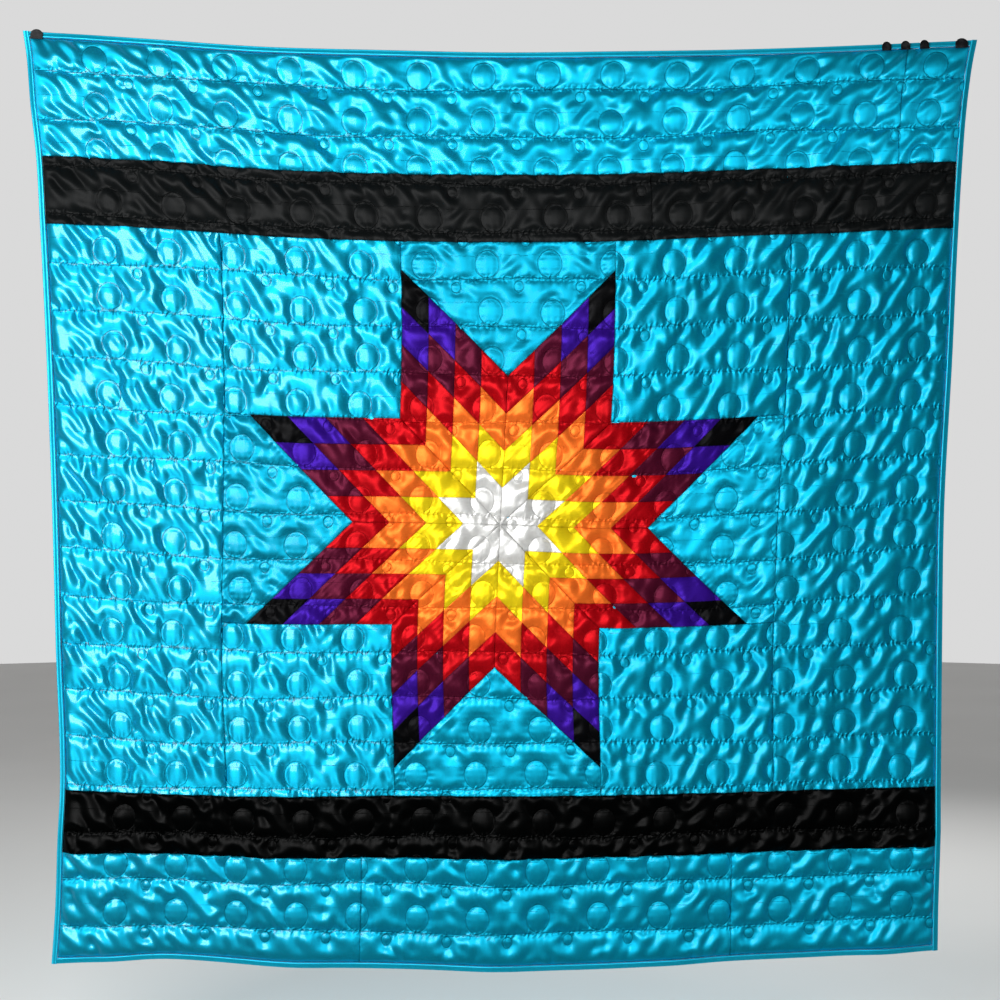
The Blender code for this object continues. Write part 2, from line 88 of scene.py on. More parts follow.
# Half thickness of the cloth at a stitch, how high the padding lifts the top fabric, and how
# the discs inside the circles differ: lower, steeper at their rim and less full.
HALF_AT_STITCH = 0.0012
PUFF_HEIGHT = 0.0050
PUFF_REACH = 0.020
DISC_SHARE = 0.50
DISC_STEEPNESS = 3.8
DISC_FULLNESS = 0.42
BACK_SHARE = 0.30
RELIEF_SCALE = 1.3

# How much calmer the background triangles are, how far out their middles lie, and their reach.
CALM_SHARE = 0.50
CALM_PLACE = 0.55
CALM_REACH = 0.21
CALM_FULLNESS = -0.026

# Heights at which five level lines of the cloth hang, a row for each share of its width.
LINE_SHARES = (0.0, 0.206, 0.510, 0.8145, 1.0)
HANGING_LINES = (
    # across, top edge, upper band, star centre, lower band, bottom edge
    (0.000, 0.056, -0.407, -1.089, -1.764, -2.183),
    (0.125, 0.036, -0.421, -1.106, -1.774, -2.170),
    (0.250, 0.015, -0.441, -1.120, -1.780, -2.186),
    (0.375, 0.006, -0.452, -1.123, -1.777, -2.192),
    (0.500, 0.000, -0.454, -1.128, -1.779, -2.197),
    (0.625, 0.003, -0.452, -1.137, -1.776, -2.193),
    (0.750, 0.008, -0.440, -1.128, -1.770, -2.176),
    (0.875, 0.019, -0.430, -1.108, -1.762, -2.164),
    (1.000, 0.034, -0.417, -1.087, -1.756, -2.150),
)

# Where the side edges hang, and how far the middle of the cloth is drawn to the right.
HANGING_SIDES = (
    # down, left edge, right edge, middle
    (0.000, -1.145, 1.145, 0.000),
    (0.030, -1.135, 1.132, 0.002),
    (0.080, -1.126, 1.118, 0.007),
    (0.130, -1.114, 1.110, 0.014),
    (0.206, -1.104, 1.100, 0.022),
    (0.350, -1.088, 1.085, 0.020),
    (0.510, -1.075, 1.066, 0.005),
    (0.660, -1.066, 1.061, -0.010),
    (0.815, -1.056, 1.058, -0.007),
    (0.880, -1.062, 1.056, -0.005),
    (0.940, -1.067, 1.052, -0.002),
    (1.000, -1.076, 1.050, 0.000),
)

# Folds that stand out from the cloth, as soft ridges between two flat points.
FOLDS = (
    # from across, from down, to across, to down, half width, height
    (0.060, 0.060, 0.620, 0.270, 0.040, 0.012),
    (0.090, 0.040, 0.860, 0.190, 0.035, 0.009),
    (0.050, 0.100, 0.430, 0.440, 0.045, 0.012),
    (0.050, 0.170, 0.260, 0.640, 0.045, 0.009),
    (2.120, 0.060, 1.560, 0.260, 0.040, 0.012),
    (2.090, 0.040, 1.320, 0.190, 0.035, 0.009),
    (2.130, 0.110, 1.740, 0.450, 0.045, 0.011),
    (2.130, 0.190, 1.930, 0.690, 0.045, 0.008),
    (0.130, 0.620, 0.310, 0.980, 0.040, 0.007),
    (0.080, 0.960, 0.300, 1.330, 0.045, 0.008),
    (0.140, 1.380, 0.330, 1.720, 0.045, 0.006),
    (2.040, 0.760, 1.830, 1.120, 0.045, 0.007),
    (2.080, 1.200, 1.860, 1.600, 0.050, 0.006),
    (1.560, 0.520, 1.380, 0.860, 0.045, 0.005),
    (0.640, 0.540, 0.820, 0.840, 0.045, 0.005),
    (0.080, 1.940, 0.160, 2.236, 0.070, 0.016),
    (0.560, 1.980, 0.600, 2.236, 0.090, 0.012),
    (1.100, 1.960, 1.090, 2.236, 0.110, 0.016),
    (1.560, 1.990, 1.540, 2.236, 0.090, 0.011),
    (2.100, 1.940, 2.050, 2.236, 0.070, 0.014),
)
BILLOW = 0.018

# Clips over the top edge, and how far from one the cloth is held flat or pressed thin.
CORNER_CLIPS = (("corner_clip_left", 0.0335), ("corner_clip_right", 2.1425))
SMALL_CLIPS = (("small_clip_1", 1.970), ("small_clip_2", 2.0133), ("small_clip_3", 2.0567))
HELD_FLAT = 0.090
PRESSED_THIN = 0.035

# The relaxation of the top fabric: its grid, its start, and how much too full it is in places.
FABRIC_CELL = 0.0044
FABRIC_STEPS = 200
SNAP_TO_STITCH = 0.85
LOWEST_RELIEF = -0.0010
SEED_HEIGHT = 0.0006
SEED_WAVE = 0.018
FULLNESS_SWING = 0.45
FULLNESS_WAVE = 0.11
DRAG_WAVE = 0.09
LOFT = 0.00001
BASE_FULLNESS = 0.055
FULLNESS = (
    # across, down, reach across, reach down, extra fullness
    (0.12, 1.10, 0.24, 0.80, 0.028),
    (0.40, 0.15, 0.55, 0.22, 0.008),
    (1.80, 0.16, 0.50, 0.22, 0.012),
    (1.95, 1.00, 0.25, 0.80, 0.012),
    (1.09, 1.14, 0.50, 0.50, -0.012),
    (1.09, 2.10, 0.90, 0.14, -0.012),
)
RIDGE_LEAN = 57.0
RIDGE_WAVE = 0.045
RIDGE_LENGTH = 0.085
RIDGE_SHARE = 0.26
DRAG = 0.13
DRAG_NOISE = 0.075
DRAG_AT_HEM = 0.45

# How far the wrinkles are reshaped into round ridges with narrow creases, and their reach.
CREASE_SHARE = 0.7
CREASE_REACH = 0.012

# Small gathers of the cloth beside its stitched lines and its seams.
GATHER_WAVE = 0.0165
GATHER_HEIGHT = 0.0009
GATHER_REACH = 0.005
SEAM_GATHER = 0.0006
RING_GATHER = 0.0005

# How finely the sheets are divided, and the dip of the cloth along a patch seam.
STEP_ACROSS = 0.0037
STEP_DOWN = 0.0050
SEAM_DIP = 0.0023
PATCH_DIP = 0.0016
SEAM_HALF_WIDTH = 0.0045
BINDING_STEP = 0.006
BINDING_FRONT = (
    # share of the width from the outer edge, height over the middle in millimetres
    (0.000, 0.0),
    (0.015, 1.1),
    (0.080, 1.9),
    (0.170, 1.8),
    (0.300, 1.9),
    (0.480, 2.7),
    (0.660, 3.6),
    (0.800, 4.0),
    (0.910, 3.7),
    (0.975, 2.3),
    (1.000, 0.0),
)
BINDING_BACK_SHARE = 0.75
BINDING_PUCKER = 0.00045
BINDING_PUCKER_WAVE = 0.013

# The sharpest bend, in degrees, that is still shaded as a smooth one.
SHARP_ANGLE = 65.0

# The way the long threads run where a panel differs from its group, in degrees from across.
THREADS = {
    "side_strip_left": 0.0,
    "side_strip_right": 0.0,
    "triangle_left": 90.0,
    "triangle_right": 90.0,
    "triangle_top": 90.0,
    "triangle_bottom": 90.0,
}

# Spacing of the fine puckers that the thread draws along a stitched line, and its jitter.
TICK_PITCH = 0.0135
TICK_JITTER = 12.0

# How wide the painted shade along a stitched line is.
PAINTED_CREASE_SHADE_WIDTH = 0.0030

# Gloss of the satins: how much more they scatter light across their threads than along.
ANISOTROPY = 0.70
COAT_ROUGHNESS = 0.16
WEAVE_HEIGHT = 0.00006

# Where the cloth's finish grows less glossy, from one place across to another, and what is left.
GLOSS_FADE = (0.20, 1.20)
GLOSS_LEFT = 0.18

# Metallic value, roughness, specular level, coat, pucker and strength of the painted shade along
# the stitching, of each satin.
SATINS = {
    "turquoise": (0.83, 0.61, 0.35, 0.64, 1.0, 1.0),
    # The calm satin is the turquoise with less coat, dressed in a darker colour that is painted
    # shade.
    "calm": (0.83, 0.61, 0.35, 0.22, 0.8, 0.8),
    "black": (0.0, 0.50, 0.11, 0.0, 1.0, 1.0),
    # A darker copy of the black satin, dressed in painted shade for the lower band, low on the
    # quilt where less light falls.
    "painted_shade_black": (0.0, 0.40, 0.06, 0.0, 1.0, 1.0),
    "star": (0.45, 0.44, 0.08, 0.0, 0.45, 0.60),
    "backing": (0.30, 0.42, 0.30, 0.0, 0.5, 0.6),
    "binding": (0.60, 0.44, 0.50, 0.08, 0.0, 0.0),
}

# Colours in linear light, from the star's centre out to its tips.
TURQUOISE = (0.002, 0.550, 0.805)
# A darker copy of the turquoise: painted shade for two background triangles whose sheen catches
# less light.
PAINTED_SHADE_TURQUOISE = (0.002, 0.450, 0.665)
BLACK = (0.0035, 0.0044, 0.0046)
# A darker copy of the black: painted shade for the lower band, where less light falls.
PAINTED_SHADE_BLACK = (0.0003, 0.0005, 0.0005)
STAR_COLOURS = (
    ("white", (0.800, 0.800, 0.780)),
    ("yellow", (0.900, 0.680, 0.010)),
    ("orange", (0.960, 0.180, 0.022)),
    ("red", (0.430, 0.002, 0.006)),
    ("wine", (0.084, 0.005, 0.022)),
    ("violet", (0.036, 0.006, 0.260)),
    ("black_tip", (0.003, 0.003, 0.0035)),
)


def smooth_through(knots, values, where):
    """A smooth curve through values at uneven knots, read at each place in where.

    values has a row for each knot, and may have a column for each place.
    """
    knots = np.asarray(knots, float)
    values = np.asarray(values, float)
    if values.ndim == 1:
        values = np.repeat(values[:, None], len(where), axis=1)
    slopes = np.gradient(values, knots, axis=0)
    place = np.arange(len(where))
    first = np.clip(np.searchsorted(knots, where, side="right") - 1, 0, len(knots) - 2)
    span = knots[first + 1] - knots[first]
    share = (where - knots[first]) / span
    start = (1.0 + 2.0 * share) * (1.0 - share) ** 2
    end = share ** 2 * (3.0 - 2.0 * share)
    leave = share * (1.0 - share) ** 2 * span
    arrive = share ** 2 * (share - 1.0) * span
    return (start * values[first, place] + end * values[first + 1, place]
            + leave * slopes[first, place] + arrive * slopes[first + 1, place])


def held_by(clips, across, down, reach):
    """1 at the clips, falling to 0 past their reach."""
    free = np.ones(np.shape(across))
    for _, clip_across in clips:
        held = np.exp(-(across - clip_across) ** 2 / reach ** 2 - down ** 2 / reach ** 2)
        free = free * (1.0 - held)
    return 1.0 - free


def edge_distance(across, down):
    """Distance from flat places to the nearest edge of the quilt."""
    return np.minimum(np.minimum(across, QUILT_WIDTH - across),
                      np.minimum(down, QUILT_LENGTH - down))


def fold_height(across, down):
    """How far the folds and the slack of the cloth stand out from the hanging plane."""
    share = across / QUILT_WIDTH
    height = BILLOW * 4.0 * share * (1.0 - share) * (1.0 - 0.5 * down / QUILT_LENGTH)
    for from_across, from_down, to_across, to_down, half_width, rise in FOLDS:
        run = np.array((to_across - from_across, to_down - from_down))
        along = ((across - from_across) * run[0] + (down - from_down) * run[1]) / run.dot(run)
        along = np.clip(along, 0.0, 1.0)
        away = np.hypot(across - from_across - along * run[0], down - from_down - along * run[1])
        height = height + rise * np.exp(-(away / half_width) ** 2)
    return height * (1.0 - held_by(CORNER_CLIPS, across, down, HELD_FLAT))


def hang(across, down):
    """Where the middle of the cloth's thickness hangs, as rows of x, y and z."""
    lines = np.array(HANGING_LINES)
    sides = np.array(HANGING_SIDES)
    u = across / QUILT_WIDTH
    v = down / QUILT_LENGTH
    left = smooth_through(sides[:, 0], sides[:, 1], v)
    right = smooth_through(sides[:, 0], sides[:, 2], v)
    middle = smooth_through(sides[:, 0], sides[:, 3], v)
    x = left + u * (right - left) + middle * 4.0 * u * (1.0 - u)
    levels = [smooth_through(lines[:, 0], lines[:, 1 + i], u) for i in range(len(LINE_SHARES))]
    z = smooth_through(LINE_SHARES, levels, v)
    return np.stack((x, BILLOW - fold_height(across, down), z), axis=-1)


def outward(across, down):
    """The unit normal of the cloth's front at each place."""
    step = 0.004
    to_right = hang(across + step, down) - hang(across - step, down)
    to_hem = hang(across, down + step) - hang(across, down - step)
    normal = np.cross(to_hem, to_right)
    return normal / np.linalg.norm(normal, axis=-1, keepdims=True)


def row_line(row, across):
    """How far down a stitched row runs at each place across."""
    return FIRST_ROW + row * ROW_PITCH + LINE_WAVE * np.sin(9.0 * across + 1.7 * row)


def nearest_stitch(across, down):
    """Distance to the nearest stitch, the flat point there, signed distances and the row.

    The signed ones are to the nearest line and the nearest circle, for the fine seams. The
    last is the share of the way from a circle's stitching to its middle, 0 outside circles.
    """
    nearest = np.full(across.shape, 1.0)
    at_across = across.copy()
    at_down = down.copy()
    to_line = np.full(across.shape, 1.0)
    to_ring = np.full(across.shape, 1.0)
    line_row = np.zeros(across.shape)
    inside = np.zeros(across.shape)
    for row in range(ROWS):
        line = row_line(row, across)
        signed = down - line
        closer = np.abs(signed) < nearest
        nearest[closer] = np.abs(signed)[closer]
        at_across[closer] = across[closer]
        at_down[closer] = line[closer]
        line_row = np.where(np.abs(signed) < np.abs(to_line), row, line_row)
        to_line = np.where(np.abs(signed) < np.abs(to_line), signed, to_line)
        shift = FIRST_COLUMN + ROW_WANDER * math.sin(2.4 * row + 0.6)
        for offset, centre, radii in (
            (0.0, line - BIG_CIRCLE_RISE, BIG_CIRCLE_RADII),
            (0.5 * COLUMN_PITCH, line + SMALL_CIRCLE_DROP, SMALL_CIRCLE_RADII),
        ):
            beside = across - shift - offset
            column = np.clip(np.round(beside / COLUMN_PITCH), 0, COLUMNS - 1)
            beside = beside - COLUMN_PITCH * column
            ring = np.hypot(beside / radii[0], (down - centre) / radii[1]) + 1e-9
            signed = (ring - 1.0) * radii[0]
            closer = np.abs(signed) < nearest
            nearest[closer] = np.abs(signed)[closer]
            at_across[closer] = (across - beside + beside / ring)[closer]
            at_down[closer] = (centre + (down - centre) / ring)[closer]
            to_ring = np.where(np.abs(signed) < np.abs(to_ring), signed, to_ring)
            inside = np.maximum(inside, 1.0 - ring)
    return nearest, at_across, at_down, to_line, to_ring, line_row, inside


def gathers(along, away, row):
    """Small folds that cross a sewn line, none at the line itself and dying away from it."""
    side = np.sign(away)
    wander = 2.4 * np.sin(23.0 * along + 1.9 * row) + 1.3 * side + 4.1 * row
    amount = 0.30 + 0.70 * np.sin(11.0 * along + 2.3 * row + side) ** 2
    reach = np.abs(away) / GATHER_REACH
    wave = np.sin(2.0 * math.pi * along / GATHER_WAVE + wander)
    return amount * wave * reach * np.exp(1.0 - reach)


def filtered_noise(random, shape, cell, response):
    """Noise with a spread of 1, of the waves that pass a response to their frequencies."""
    spectrum = np.fft.rfft2(random.normal(0.0, 1.0, shape))
    down = np.fft.fftfreq(shape[0], cell)[:, None]
    across = np.fft.rfftfreq(shape[1], cell)[None, :]
    noise = np.fft.irfft2(spectrum * response(across, down), s=shape)
    return noise / noise.std()


def band_noise(random, shape, cell, wave, spread):
    """Smooth noise of about one wavelength."""

    def response(across, down):
        return np.exp(-((np.hypot(across, down) * wave - 1.0) / spread) ** 2)

    return filtered_noise(random, shape, cell, response)


def ridge_noise(random, shape, cell, wave, length, lean):
    """Noise drawn out into ridges that run down at a lean to the right."""
    turn = math.radians(lean)

    def response(across, down):
        along = across * math.cos(turn) + down * math.sin(turn)
        beside = across * math.sin(turn) - down * math.cos(turn)
        return np.exp(-((np.abs(beside) * wave - 1.0) / 0.5) ** 2 - (along * length) ** 2)

    return filtered_noise(random, shape, cell, response)


class TopFabric:
    """The relief of the top fabric, relaxed on a grid over the flat quilt."""

    def __init__(self):
        self.cell = FABRIC_CELL
        steps = FABRIC_STEPS
        self.columns = int(round(QUILT_WIDTH / self.cell)) + 1
        self.rows = int(round(QUILT_LENGTH / self.cell)) + 1
        across, down = np.meshgrid(
            np.linspace(0.0, QUILT_WIDTH, self.columns), np.linspace(0.0, QUILT_LENGTH, self.rows)
        )
        nearest, at_across, at_down, _, _, _, inside = nearest_stitch(across, down)
        rim = (across < BINDING_WIDTH) | (across > QUILT_WIDTH - BINDING_WIDTH)
        rim |= (down < BINDING_WIDTH) | (down > QUILT_LENGTH - BINDING_WIDTH)
        held = (nearest < 0.5 * self.cell) & ~rim
        across[held] += SNAP_TO_STITCH * (at_across - across)[held]
        down[held] += SNAP_TO_STITCH * (at_down - down)[held]
        self.home = np.stack((across, down), -1).astype(np.float32)
        self.free = np.where(held | rim, 0.0, 1.0).astype(np.float32)
        reach = np.minimum(nearest, edge_distance(across, down) - BINDING_WIDTH)
        rise = np.sin(0.5 * math.pi * np.clip(reach / PUFF_REACH, 0.0, 1.0))
        rise = np.where(inside > 0.0, DISC_SHARE * (1.0 - (1.0 - inside) ** DISC_STEEPNESS), rise)
        rise = rise * (1.0 - held_by(CORNER_CLIPS + SMALL_CLIPS, across, down, PRESSED_THIN))
        lumps = np.where(inside > 0.0, 1.0, self.lumps(across))
        calm = 1.0 - CALM_SHARE * self.in_triangles(across, down)
        self.padding = (PUFF_HEIGHT * rise * lumps * calm).astype(np.float32)
        self.height = self.sharpen(self.relax(across, down, nearest, inside, steps), nearest)

    @staticmethod
    def in_triangles(across, down):
        """1 in the middle of each background triangle, falling to 0 outside it."""
        total = np.zeros(across.shape)
        for side_across, side_down in ((0, -1), (0, 1), (-1, 0), (1, 0)):
            away = np.hypot(across - STAR_CENTRE[0] - CALM_PLACE * side_across,
                            down - STAR_CENTRE[1] - CALM_PLACE * side_down)
            total += np.exp(-(away / CALM_REACH) ** 4)
        return total

    def lumps(self, across):
        """How the padding is drawn into ridges that run down and in from the top corners."""
        random = np.random.default_rng(11)
        lumps = np.ones(across.shape)
        for lean, side in ((RIDGE_LEAN, 1.0), (180.0 - RIDGE_LEAN, -1.0)):
            weight = 0.5 + 0.5 * side * np.cos(math.pi * across / QUILT_WIDTH)
            ridges = ridge_noise(random, across.shape, self.cell, RIDGE_WAVE, RIDGE_LENGTH, lean)
            lumps += RIDGE_SHARE * (0.25 + 0.75 * weight) * np.clip(ridges, -1.6, 1.6)
        return np.maximum(lumps, 0.25)

    def relax(self, across, down, nearest, inside, steps):
        """Let the too-full fabric buckle on its padding between the stitches."""
        random = np.random.default_rng(3)
        shape = across.shape
        fullness = np.full(shape, BASE_FULLNESS)
        for at, low, reach_across, reach_down, extra in FULLNESS:
            fullness += extra * np.exp(-((across - at) / reach_across) ** 2
                                       - ((down - low) / reach_down) ** 2)
        fullness += CALM_FULLNESS * self.in_triangles(across, down)
        swing = np.clip(band_noise(random, shape, self.cell, FULLNESS_WAVE, 0.4), -1.8, 1.8)
        fullness *= 1.0 + FULLNESS_SWING * swing
        fullness = np.where(inside > 0.0, DISC_FULLNESS, 1.0) * fullness
        fall = DRAG_AT_HEM + (1.0 - DRAG_AT_HEM) * np.exp(-(down / 0.9) ** 2)
        drag = -DRAG * np.cos(math.pi * across / QUILT_WIDTH) * fall
        drag += DRAG_NOISE * band_noise(random, shape, self.cell, DRAG_WAVE, 0.5)
        seed = SEED_HEIGHT * band_noise(random, shape, self.cell, SEED_WAVE, 0.5)
        place = np.zeros(shape + (3,), np.float32)
        place[..., :2] = self.home
        place[..., 2] = self.padding + seed * np.clip(nearest / 0.006, 0.0, 1.0) * self.free
        links = []
        for step_down, step_across, ease, stiffness in (
            (0, 1, 1.0 + fullness, 0.9),
            (1, 0, 1.0 + 0.8 * fullness, 0.9),
            (1, 1, 1.0 + 0.9 * fullness + 0.5 * drag, 0.3),
            (1, -1, 1.0 + 0.9 * fullness - 0.5 * drag, 0.3),
        ):
            for colour in (0, 1):
                near, far = self.link_slices(step_down, step_across, colour)
                run = self.home[far] - self.home[near]
                rest = np.hypot(run[..., 0], run[..., 1]) * 0.5 * (ease[near] + ease[far])
                weight = self.free[near] + self.free[far] + 1e-6
                links.append((near, far, rest.astype(np.float32), stiffness / weight))
        speed = np.zeros_like(place)
        free = self.free[..., None]
        for _ in range(steps):
            before = place.copy()
            place += 0.8 * speed * free
            place[..., 2] += (LOFT + 0.006 * (self.padding - place[..., 2])) * self.free
            place[..., :2] += 0.02 * (self.home - place[..., :2]) * free
            for near, far, rest, stiffness in links:
                run = place[far] - place[near]
                length = np.sqrt((run * run).sum(-1)) + 1e-6
                pull = (stiffness * (length - rest) / length)[..., None] * run
                place[near] += pull * free[near]
                place[far] -= pull * free[far]
            height = place[..., 2]
            slack = self.bend(height)
            height += (0.03 * slack - 0.3 * self.bend(slack)) * self.free
            np.maximum(height, LOWEST_RELIEF, out=height)
            speed = place - before
        return place[..., 2].astype(float)

    def blurred(self, values, reach):
        """Values smoothed over a reach in metres."""
        down = np.fft.fftfreq(values.shape[0], self.cell)[:, None]
        across = np.fft.rfftfreq(values.shape[1], self.cell)[None, :]
        keep = np.exp(-2.0 * (math.pi * reach) ** 2 * (down ** 2 + across ** 2))
        return np.fft.irfft2(np.fft.rfft2(values) * keep, s=values.shape)

    def sharpen(self, height, nearest):
        """Draw the valleys between wrinkles narrower and round out the tops."""
        ripple = height - self.blurred(height, CREASE_REACH)
        amount = np.sqrt(2.0 * self.blurred(ripple ** 2, CREASE_REACH)) + 1e-6
        place = np.clip(ripple / amount, -1.0, 1.0)
        rounder = np.sqrt(2.0 * (1.0 + place)) - 1.0 - place
        off_stitch = np.clip(nearest / 0.010, 0.0, 1.0)
        return height + CREASE_SHARE * amount * rounder * off_stitch * self.free

    def link_slices(self, step_down, step_across, colour):
        """Near and far ends of every second link in one direction."""
        if step_down == 0:
            count = (self.columns - 1 - colour + 1) // 2
            near = (slice(None), slice(colour, colour + 2 * count - 1, 2))
            far = (slice(None), slice(colour + 1, colour + 2 * count, 2))
            return near, far
        count = (self.rows - 1 - colour + 1) // 2
        rows = (slice(colour, colour + 2 * count - 1, 2), slice(colour + 1, colour + 2 * count, 2))
        if step_across == 0:
            return (rows[0], slice(None)), (rows[1], slice(None))
        if step_across == 1:
            return (rows[0], slice(None, -1)), (rows[1], slice(1, None))
        return (rows[0], slice(1, None)), (rows[1], slice(None, -1))

    @staticmethod
    def bend(height):
        """How far each point lies from the mean of its four neighbours."""
        slack = np.zeros_like(height)
        slack[1:-1, 1:-1] = 0.25 * (height[:-2, 1:-1] + height[2:, 1:-1] + height[1:-1, :-2]
                                    + height[1:-1, 2:]) - height[1:-1, 1:-1]
        return slack

    def index_of(self, across, down):
        """Grid coordinates of flat places, allowing for the grid's moves onto the stitches."""
        wanted = np.stack((across, down), -1)
        found = wanted / self.cell
        for _ in range(3):
            low = np.floor(found).astype(int)
            low[:, 0] = np.clip(low[:, 0], 0, self.columns - 2)
            low[:, 1] = np.clip(low[:, 1], 0, self.rows - 2)
            share = found - low
            i, j = low[:, 0], low[:, 1]
            su, sv = share[:, :1], share[:, 1:]
            here = ((1 - sv) * ((1 - su) * self.home[j, i] + su * self.home[j, i + 1])
                    + sv * ((1 - su) * self.home[j + 1, i] + su * self.home[j + 1, i + 1]))
            found = found + (wanted - here) / self.cell
        return found

    def loose(self, across, down):
        """1 where the cloth is free, 0 where the clips and the binding hold it."""
        free = np.clip((edge_distance(across, down) - BINDING_WIDTH) / 0.012, 0.0, 1.0)
        return free * (1.0 - held_by(CORNER_CLIPS + SMALL_CLIPS, across, down, PRESSED_THIN))

    def relief(self, across, down):
        """Height of the top fabric over its stitches, smooth between the grid's points."""
        found = self.index_of(across, down)
        low = np.floor(found).astype(int)
        share = found - low
        total = np.zeros(len(across))
        weights = []
        for axis in (0, 1):
            t = share[:, axis]
            weights.append((
                0.5 * (-t + 2 * t ** 2 - t ** 3),
                0.5 * (2 - 5 * t ** 2 + 3 * t ** 3),
                0.5 * (t + 4 * t ** 2 - 3 * t ** 3),
                0.5 * (-t ** 2 + t ** 3),
            ))
        for b in range(4):
            row = np.clip(low[:, 1] + b - 1, 0, self.rows - 1)
            for a in range(4):
                column = np.clip(low[:, 0] + a - 1, 0, self.columns - 1)
                total += weights[0][a] * weights[1][b] * self.height[row, column]
        return RELIEF_SCALE * total


def outline_distance(across, down, corners):
    """Distance from flat places to the nearest side of an outline."""
    nearest = np.full(across.shape, 1.0)
    for start, end in zip(corners, corners[1:] + corners[:1]):
        run = np.subtract(end, start)
        share = ((across - start[0]) * run[0] + (down - start[1]) * run[1]) / run.dot(run)
        share = np.clip(share, 0.0, 1.0)
        away = np.hypot(across - start[0] - share * run[0], down - start[1] - share * run[1])
        nearest = np.minimum(nearest, away)
    return nearest


def rail_grid(first_rail, second_rail, steps_along, steps_between):
    """Flat places on the ruled patch between two rails of the same number of points."""
    first = np.array(first_rail, float)
    second = np.array(second_rail, float)
    stops = np.arange(len(first))
    along = np.linspace(0.0, len(first) - 1, steps_along * (len(first) - 1) + 1)
    share = np.linspace(0.0, 1.0, steps_between + 1)[:, None]
    axes = []
    for axis in (0, 1):
        near = np.interp(along, stops, first[:, axis])
        far = np.interp(along, stops, second[:, axis])
        axes.append((1.0 - share) * near + share * far)
    return axes[0], axes[1]


def even_steps(length, step, multiple):
    """A number of steps that divides by a multiple and keeps each near the given size."""
    return multiple * max(1, round(length / step / multiple))


def needed_steps(start, end, multiple):
    """Steps between two flat points, smaller ones across the cloth than down it."""
    steps = math.hypot((end[0] - start[0]) / STEP_ACROSS, (end[1] - start[1]) / STEP_DOWN)
    return even_steps(steps, 1.0, multiple)


def store(mesh, name, values):
    """A named number for each point of a mesh."""
    layer = mesh.attributes.new(name, "FLOAT", "POINT")
    layer.data.foreach_set("value", np.asarray(values, np.float32))


def store_uv(mesh, name, places):
    """A UV map that gives each point of a mesh its flat place."""
    corner = np.empty(len(mesh.loops), np.int32)
    mesh.loops.foreach_get("vertex_index", corner)
    layer = mesh.uv_layers.new(name=name)
    layer.data.foreach_set("uv", places[corner].astype(np.float32).ravel())


def add_piece(name, mesh):
    """A smooth piece that rides on the cloth and takes the place of its frame node."""
    mesh.polygons.foreach_set("use_smooth", np.ones(len(mesh.polygons), bool))
    mesh.set_sharp_from_angle(angle=math.radians(SHARP_ANGLE))
    piece = bpy.data.objects.new(f"satin_{name}", mesh)
    bpy.context.scene.collection.objects.link(piece)
    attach(piece, "root")
    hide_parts(name)
    return piece


def closed_sheet(name, front, back, front_map, back_map, flip):
    """A closed mesh from a fine front grid and a back grid of half its fineness."""
    rows, columns = front_map
    back_rows, back_columns = back_map
    index = np.arange(rows * columns).reshape(rows, columns)
    under = np.arange(back_rows * back_columns).reshape(back_rows, back_columns) + rows * columns

    def quads(grid):
        corners = (grid[:-1, :-1], grid[1:, :-1], grid[1:, 1:], grid[:-1, 1:])
        return np.stack(corners, -1).reshape(-1, 4)

    front_faces = quads(index)
    back_faces = quads(under)[:, ::-1]
    rim = np.concatenate((index[0, :-1], index[:-1, -1], index[-1, :0:-1], index[:0:-1, 0]))
    under_rim = np.concatenate((under[0, :-1], under[:-1, -1], under[-1, :0:-1], under[:0:-1, 0]))
    a, b, c = rim[0::2], rim[1::2], np.roll(rim[0::2], -1)
    d, e = under_rim, np.roll(under_rim, -1)
    walls = np.concatenate([np.stack(part, -1) for part in ((a, b, d), (b, c, e), (b, e, d))])
    faces = [front_faces, back_faces, walls]
    if flip:
        faces = [part[:, ::-1] for part in faces]
    mesh = bpy.data.meshes.new(name)
    points = np.concatenate((front, back)).tolist()
    mesh.from_pydata(points, [], [face for part in faces for face in part.tolist()])
    return mesh, [len(part) for part in faces]


